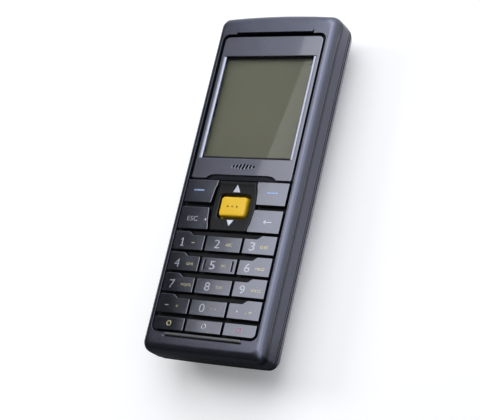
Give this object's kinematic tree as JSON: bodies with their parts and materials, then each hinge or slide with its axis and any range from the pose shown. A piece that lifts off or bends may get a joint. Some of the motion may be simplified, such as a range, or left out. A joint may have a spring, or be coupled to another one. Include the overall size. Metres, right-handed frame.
{
  "type": "portable barcode data terminal",
  "caption": "Slim hand-held barcode data terminal: display window over a tile keypad with a navigation rocker and yellow scan key, scan window in the nose, sliding battery cover.",
  "frame": {"origin": "middle of the footprint, on the resting face (the back), with the terminal lying on its back", "axes": "+X to the right of the display, +Y towards the scanning end, +Z out of the display"},
  "size_m": [0.051, 0.135, 0.024],
  "materials": {
    "shell_plastic": "moulded plastic, fine satin texture",
    "band_plastic": "matt black moulding",
    "panel_paint": "metallic blue-grey paint on a moulded panel",
    "bright_trim": "bright metallised strip",
    "black_plastic": "matt black",
    "rocker_gloss": "gloss black",
    "key_tile": "metallic grey lacquer on moulded tiles",
    "scan_yellow": "semi-gloss yellow moulding",
    "clear_window": "clear acrylic",
    "lcd_face": "unlit olive-grey liquid-crystal face",
    "white_diffuser": "white diffuser",
    "connector_body": "cream moulding",
    "screw_steel": "plain steel",
    "battery_wrap": "printed wrap, dark",
    "contact_metal": "gold-plated",
    "key_rubber": "silicone rubber",
    "dome_film": "polyester film over metal domes",
    "board_laminate": "solder-masked laminate",
    "shield_tin": "tin-plated can",
    "chip_epoxy": "moulded epoxy",
    "cell_steel": "coin cell",
    "engine_housing": "glass-filled moulding",
    "lens_glass": "coated lens",
    "lamp_red": "red lamp body",
    "ribbon_film": "amber film",
    "scan_red": "dark red filter"
  },
  "bodies": {
    "casing": {"front_shell": "shell_plastic", "seam_band": "band_plastic", "rear_shell": "shell_plastic", "case_screws": "screw_steel", "battery_pack": "battery_wrap", "battery_contacts": "contact_metal", "cradle_contacts": "contact_metal", "display_bezel": "panel_paint", "window_strip_left": "bright_trim", "window_strip_right": "bright_trim", "display_gasket": "black_plastic", "display_frame": "black_plastic", "display_window": "clear_window", "lcd_glass": "lcd_face", "lcd_backlight": "white_diffuser", "lcd_connector": "connector_body", "speaker": "black_plastic", "keypad_frame": "black_plastic", "keypad_mat": "key_rubber", "dome_sheet": "dome_film", "main_board": "board_laminate", "board_screws": "screw_steel", "board_shield": "shield_tin", "processor_chip": "chip_epoxy", "memory_backup_cell": "cell_steel", "scan_engine": "engine_housing", "engine_lens": "lens_glass", "engine_lamps": "lamp_red", "engine_ribbon": "ribbon_film", "scan_window_frame": "band_plastic", "scan_window": "scan_red"},
    "battery_cover": {"battery_cover": "shell_plastic"},
    "nav_rocker": {"nav_rocker": "rocker_gloss"},
    "scan_key": {"scan_key": "scan_yellow"},
    "key_soft_left": {"key_soft_left": "key_tile"},
    "key_soft_right": {"key_soft_right": "key_tile"},
    "key_escape": {"key_escape": "key_tile"},
    "key_back": {"key_back": "key_tile"},
    "key_1": {"key_1": "key_tile"},
    "key_2": {"key_2": "key_tile"},
    "key_3": {"key_3": "key_tile"},
    "key_4": {"key_4": "key_tile"},
    "key_5": {"key_5": "key_tile"},
    "key_6": {"key_6": "key_tile"},
    "key_7": {"key_7": "key_tile"},
    "key_8": {"key_8": "key_tile"},
    "key_9": {"key_9": "key_tile"},
    "key_minus": {"key_minus": "key_tile"},
    "key_0": {"key_0": "key_tile"},
    "key_point": {"key_point": "key_tile"},
    "key_ring_yellow": {"key_ring_yellow": "key_tile"},
    "key_ring_white": {"key_ring_white": "key_tile"},
    "key_ring_red": {"key_ring_red": "key_tile"}
  },
  "joints": [
    {"name": "battery_cover_slide", "type": "slide", "parent": "casing", "child": "battery_cover", "axis": [0, -1, 0], "range_m": [0, 0.008]},
    {"name": "nav_rocker_tilt", "type": "hinge", "parent": "casing", "child": "nav_rocker", "pos_m": [0, -0.01085, 0.0203], "axis": [1, 0, 0], "range_deg": [-3.5, 3.5], "stiffness_Nm_per_rad": 0.2},
    {"name": "scan_key_press", "type": "slide", "parent": "casing", "child": "scan_key", "axis": [0, 0, -1], "range_m": [0, 0.0008], "stiffness_N_per_m": 900},
    {"name": "key_soft_left_press", "type": "slide", "parent": "casing", "child": "key_soft_left", "axis": [0, 0, -1], "range_m": [0, 0.0008], "stiffness_N_per_m": 900},
    {"name": "key_soft_right_press", "type": "slide", "parent": "casing", "child": "key_soft_right", "axis": [0, 0, -1], "range_m": [0, 0.0008], "stiffness_N_per_m": 900},
    {"name": "key_escape_press", "type": "slide", "parent": "casing", "child": "key_escape", "axis": [0, 0, -1], "range_m": [0, 0.0008], "stiffness_N_per_m": 900},
    {"name": "key_back_press", "type": "slide", "parent": "casing", "child": "key_back", "axis": [0, 0, -1], "range_m": [0, 0.0008], "stiffness_N_per_m": 900},
    {"name": "key_1_press", "type": "slide", "parent": "casing", "child": "key_1", "axis": [0, 0, -1], "range_m": [0, 0.0008], "stiffness_N_per_m": 900},
    {"name": "key_2_press", "type": "slide", "parent": "casing", "child": "key_2", "axis": [0, 0, -1], "range_m": [0, 0.0008], "stiffness_N_per_m": 900},
    {"name": "key_3_press", "type": "slide", "parent": "casing", "child": "key_3", "axis": [0, 0, -1], "range_m": [0, 0.0008], "stiffness_N_per_m": 900},
    {"name": "key_4_press", "type": "slide", "parent": "casing", "child": "key_4", "axis": [0, 0, -1], "range_m": [0, 0.0008], "stiffness_N_per_m": 900},
    {"name": "key_5_press", "type": "slide", "parent": "casing", "child": "key_5", "axis": [0, 0, -1], "range_m": [0, 0.0008], "stiffness_N_per_m": 900},
    {"name": "key_6_press", "type": "slide", "parent": "casing", "child": "key_6", "axis": [0, 0, -1], "range_m": [0, 0.0008], "stiffness_N_per_m": 900},
    {"name": "key_7_press", "type": "slide", "parent": "casing", "child": "key_7", "axis": [0, 0, -1], "range_m": [0, 0.0008], "stiffness_N_per_m": 900},
    {"name": "key_8_press", "type": "slide", "parent": "casing", "child": "key_8", "axis": [0, 0, -1], "range_m": [0, 0.0008], "stiffness_N_per_m": 900},
    {"name": "key_9_press", "type": "slide", "parent": "casing", "child": "key_9", "axis": [0, 0, -1], "range_m": [0, 0.0008], "stiffness_N_per_m": 900},
    {"name": "key_minus_press", "type": "slide", "parent": "casing", "child": "key_minus", "axis": [0, 0, -1], "range_m": [0, 0.0008], "stiffness_N_per_m": 900},
    {"name": "key_0_press", "type": "slide", "parent": "casing", "child": "key_0", "axis": [0, 0, -1], "range_m": [0, 0.0008], "stiffness_N_per_m": 900},
    {"name": "key_point_press", "type": "slide", "parent": "casing", "child": "key_point", "axis": [0, 0, -1], "range_m": [0, 0.0008], "stiffness_N_per_m": 900},
    {"name": "key_ring_yellow_press", "type": "slide", "parent": "casing", "child": "key_ring_yellow", "axis": [0, 0, -1], "range_m": [0, 0.0008], "stiffness_N_per_m": 900},
    {"name": "key_ring_white_press", "type": "slide", "parent": "casing", "child": "key_ring_white", "axis": [0, 0, -1], "range_m": [0, 0.0008], "stiffness_N_per_m": 900},
    {"name": "key_ring_red_press", "type": "slide", "parent": "casing", "child": "key_ring_red", "axis": [0, 0, -1], "range_m": [0, 0.0008], "stiffness_N_per_m": 900}
  ]
}
